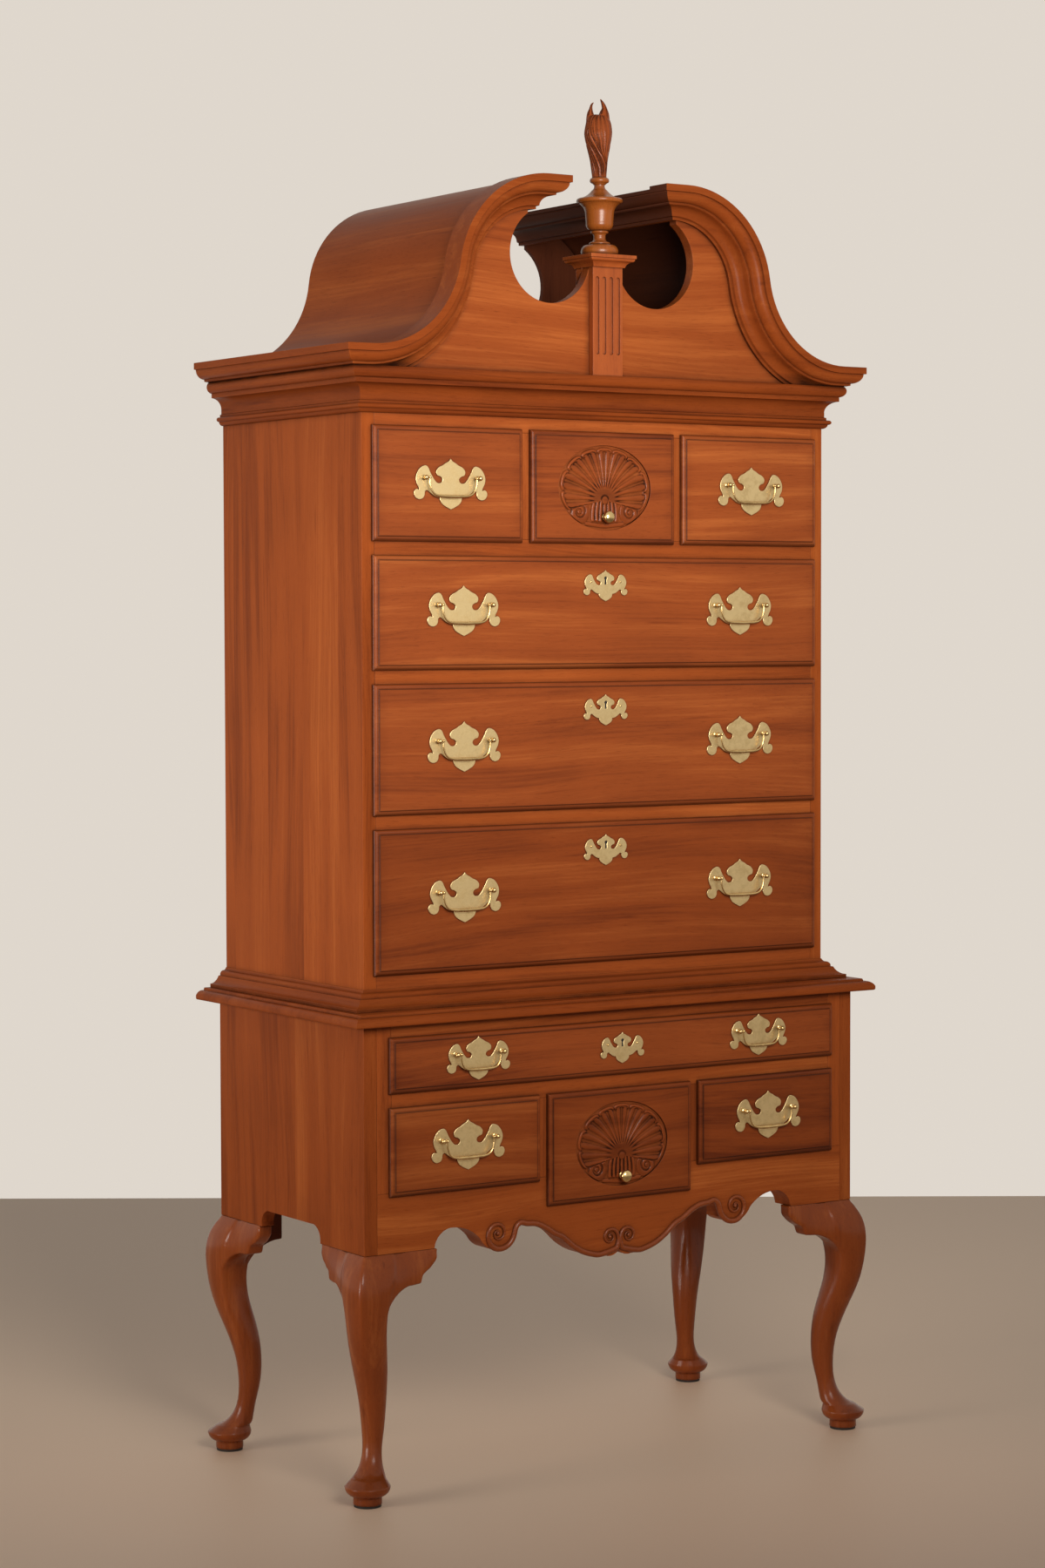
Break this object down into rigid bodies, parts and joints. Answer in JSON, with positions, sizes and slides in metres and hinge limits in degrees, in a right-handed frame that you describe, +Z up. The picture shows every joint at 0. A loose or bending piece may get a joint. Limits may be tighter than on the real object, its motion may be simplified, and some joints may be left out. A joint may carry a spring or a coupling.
{
  "type": "high chest of drawers",
  "caption": "Bonnet-top high chest on cabriole legs: swan-neck pediment with flame finial, lipped drawers with brass bail pulls, scrolled apron and pad feet.",
  "frame": {"origin": "centre of the footprint (bounding box) on the floor", "axes": "+Z up, drawers open towards -Y, +X to the right of someone facing the front"},
  "size_m": [1.06, 0.544, 2.304],
  "materials": {
    "case_wood": "satin red-brown cherry",
    "moulding_wood": "satin red-brown cherry, dark glaze in the hollows",
    "drawer_front_wood": "satin red-brown cherry with dark glazed lips",
    "finial_wood": "satin turned and carved cherry",
    "inner_wood": "plain unfinished secondary wood",
    "antique_brass": "aged, polished on the edges",
    "glide_metal": "dark"
  },
  "bodies": {
    "case": {"upper_case_sides": "case_wood", "upper_face_rails": "case_wood", "upper_dust_boards": "inner_wood", "tympanum": "case_wood", "upper_back_boards": "inner_wood", "bonnet_roof": "case_wood", "lower_case_panels": "case_wood", "lower_face_frame": "case_wood", "lower_dust_boards": "inner_wood", "lower_case_top": "case_wood", "waist_moulding": "moulding_wood", "cornice_moulding": "moulding_wood", "swan_neck_mouldings": "moulding_wood", "finial_plinth": "case_wood", "finial_urn": "finial_wood", "finial_flame": "finial_wood", "cabriole_legs": "case_wood", "foot_glides": "glide_metal"},
    "upper_deep_drawer": {"upper_deep_front": "drawer_front_wood", "upper_deep_box": "inner_wood", "upper_deep_brasses": "antique_brass"},
    "upper_middle_drawer": {"upper_middle_front": "drawer_front_wood", "upper_middle_box": "inner_wood", "upper_middle_brasses": "antique_brass"},
    "upper_shallow_drawer": {"upper_shallow_front": "drawer_front_wood", "upper_shallow_box": "inner_wood", "upper_shallow_brasses": "antique_brass"},
    "upper_left_drawer": {"upper_left_front": "drawer_front_wood", "upper_left_box": "inner_wood", "upper_left_brasses": "antique_brass"},
    "upper_right_drawer": {"upper_right_front": "drawer_front_wood", "upper_right_box": "inner_wood", "upper_right_brasses": "antique_brass"},
    "upper_shell_drawer": {"upper_shell_front": "drawer_front_wood", "upper_shell_box": "inner_wood", "upper_shell_knob": "antique_brass"},
    "lower_wide_drawer": {"lower_wide_front": "drawer_front_wood", "lower_wide_box": "inner_wood", "lower_wide_brasses": "antique_brass"},
    "lower_left_drawer": {"lower_left_front": "drawer_front_wood", "lower_left_box": "inner_wood", "lower_left_brasses": "antique_brass"},
    "lower_right_drawer": {"lower_right_front": "drawer_front_wood", "lower_right_box": "inner_wood", "lower_right_brasses": "antique_brass"},
    "lower_shell_drawer": {"lower_shell_front": "drawer_front_wood", "lower_shell_box": "inner_wood", "lower_shell_knob": "antique_brass"},
    "upper_deep_bail_left": {"upper_deep_bail_left": "antique_brass"},
    "upper_deep_bail_right": {"upper_deep_bail_right": "antique_brass"},
    "upper_middle_bail_left": {"upper_middle_bail_left": "antique_brass"},
    "upper_middle_bail_right": {"upper_middle_bail_right": "antique_brass"},
    "upper_shallow_bail_left": {"upper_shallow_bail_left": "antique_brass"},
    "upper_shallow_bail_right": {"upper_shallow_bail_right": "antique_brass"},
    "lower_wide_bail_left": {"lower_wide_bail_left": "antique_brass"},
    "lower_wide_bail_right": {"lower_wide_bail_right": "antique_brass"},
    "upper_left_bail": {"upper_left_bail": "antique_brass"},
    "upper_right_bail": {"upper_right_bail": "antique_brass"},
    "lower_left_bail": {"lower_left_bail": "antique_brass"},
    "lower_right_bail": {"lower_right_bail": "antique_brass"}
  },
  "joints": [
    {"name": "upper_deep_slide", "type": "slide", "parent": "case", "child": "upper_deep_drawer", "axis": [0, -1, 0], "range_m": [0, 0.34]},
    {"name": "upper_middle_slide", "type": "slide", "parent": "case", "child": "upper_middle_drawer", "axis": [0, -1, 0], "range_m": [0, 0.34]},
    {"name": "upper_shallow_slide", "type": "slide", "parent": "case", "child": "upper_shallow_drawer", "axis": [0, -1, 0], "range_m": [0, 0.34]},
    {"name": "upper_left_slide", "type": "slide", "parent": "case", "child": "upper_left_drawer", "axis": [0, -1, 0], "range_m": [0, 0.34]},
    {"name": "upper_right_slide", "type": "slide", "parent": "case", "child": "upper_right_drawer", "axis": [0, -1, 0], "range_m": [0, 0.34]},
    {"name": "upper_shell_slide", "type": "slide", "parent": "case", "child": "upper_shell_drawer", "axis": [0, -1, 0], "range_m": [0, 0.34]},
    {"name": "lower_wide_slide", "type": "slide", "parent": "case", "child": "lower_wide_drawer", "axis": [0, -1, 0], "range_m": [0, 0.34]},
    {"name": "lower_left_slide", "type": "slide", "parent": "case", "child": "lower_left_drawer", "axis": [0, -1, 0], "range_m": [0, 0.34]},
    {"name": "lower_right_slide", "type": "slide", "parent": "case", "child": "lower_right_drawer", "axis": [0, -1, 0], "range_m": [0, 0.34]},
    {"name": "lower_shell_slide", "type": "slide", "parent": "case", "child": "lower_shell_drawer", "axis": [0, -1, 0], "range_m": [0, 0.34]},
    {"name": "upper_deep_bail_left_hinge", "type": "hinge", "parent": "upper_deep_drawer", "child": "upper_deep_bail_left", "pos_m": [-0.2825, -0.213, 0.98594], "axis": [-1, 0, 0], "range_deg": [0, 110]},
    {"name": "upper_deep_bail_right_hinge", "type": "hinge", "parent": "upper_deep_drawer", "child": "upper_deep_bail_right", "pos_m": [0.2825, -0.213, 0.98594], "axis": [-1, 0, 0], "range_deg": [0, 110]},
    {"name": "upper_middle_bail_left_hinge", "type": "hinge", "parent": "upper_middle_drawer", "child": "upper_middle_bail_left", "pos_m": [-0.2825, -0.213, 1.23394], "axis": [-1, 0, 0], "range_deg": [0, 110]},
    {"name": "upper_middle_bail_right_hinge", "type": "hinge", "parent": "upper_middle_drawer", "child": "upper_middle_bail_right", "pos_m": [0.2825, -0.213, 1.23394], "axis": [-1, 0, 0], "range_deg": [0, 110]},
    {"name": "upper_shallow_bail_left_hinge", "type": "hinge", "parent": "upper_shallow_drawer", "child": "upper_shallow_bail_left", "pos_m": [-0.2825, -0.213, 1.45644], "axis": [-1, 0, 0], "range_deg": [0, 110]},
    {"name": "upper_shallow_bail_right_hinge", "type": "hinge", "parent": "upper_shallow_drawer", "child": "upper_shallow_bail_right", "pos_m": [0.2825, -0.213, 1.45644], "axis": [-1, 0, 0], "range_deg": [0, 110]},
    {"name": "lower_wide_bail_left_hinge", "type": "hinge", "parent": "lower_wide_drawer", "child": "lower_wide_bail_left", "pos_m": [-0.287, -0.261, 0.72461], "axis": [-1, 0, 0], "range_deg": [0, 110]},
    {"name": "lower_wide_bail_right_hinge", "type": "hinge", "parent": "lower_wide_drawer", "child": "lower_wide_bail_right", "pos_m": [0.287, -0.261, 0.72461], "axis": [-1, 0, 0], "range_deg": [0, 110]},
    {"name": "upper_left_bail_hinge", "type": "hinge", "parent": "upper_left_drawer", "child": "upper_left_bail", "pos_m": [-0.307, -0.213, 1.66294], "axis": [-1, 0, 0], "range_deg": [0, 110]},
    {"name": "upper_right_bail_hinge", "type": "hinge", "parent": "upper_right_drawer", "child": "upper_right_bail", "pos_m": [0.307, -0.213, 1.66294], "axis": [-1, 0, 0], "range_deg": [0, 110]},
    {"name": "lower_left_bail_hinge", "type": "hinge", "parent": "lower_left_drawer", "child": "lower_left_bail", "pos_m": [-0.30775, -0.261, 0.58544], "axis": [-1, 0, 0], "range_deg": [0, 110]},
    {"name": "lower_right_bail_hinge", "type": "hinge", "parent": "lower_right_drawer", "child": "lower_right_bail", "pos_m": [0.30775, -0.261, 0.58544], "axis": [-1, 0, 0], "range_deg": [0, 110]}
  ]
}
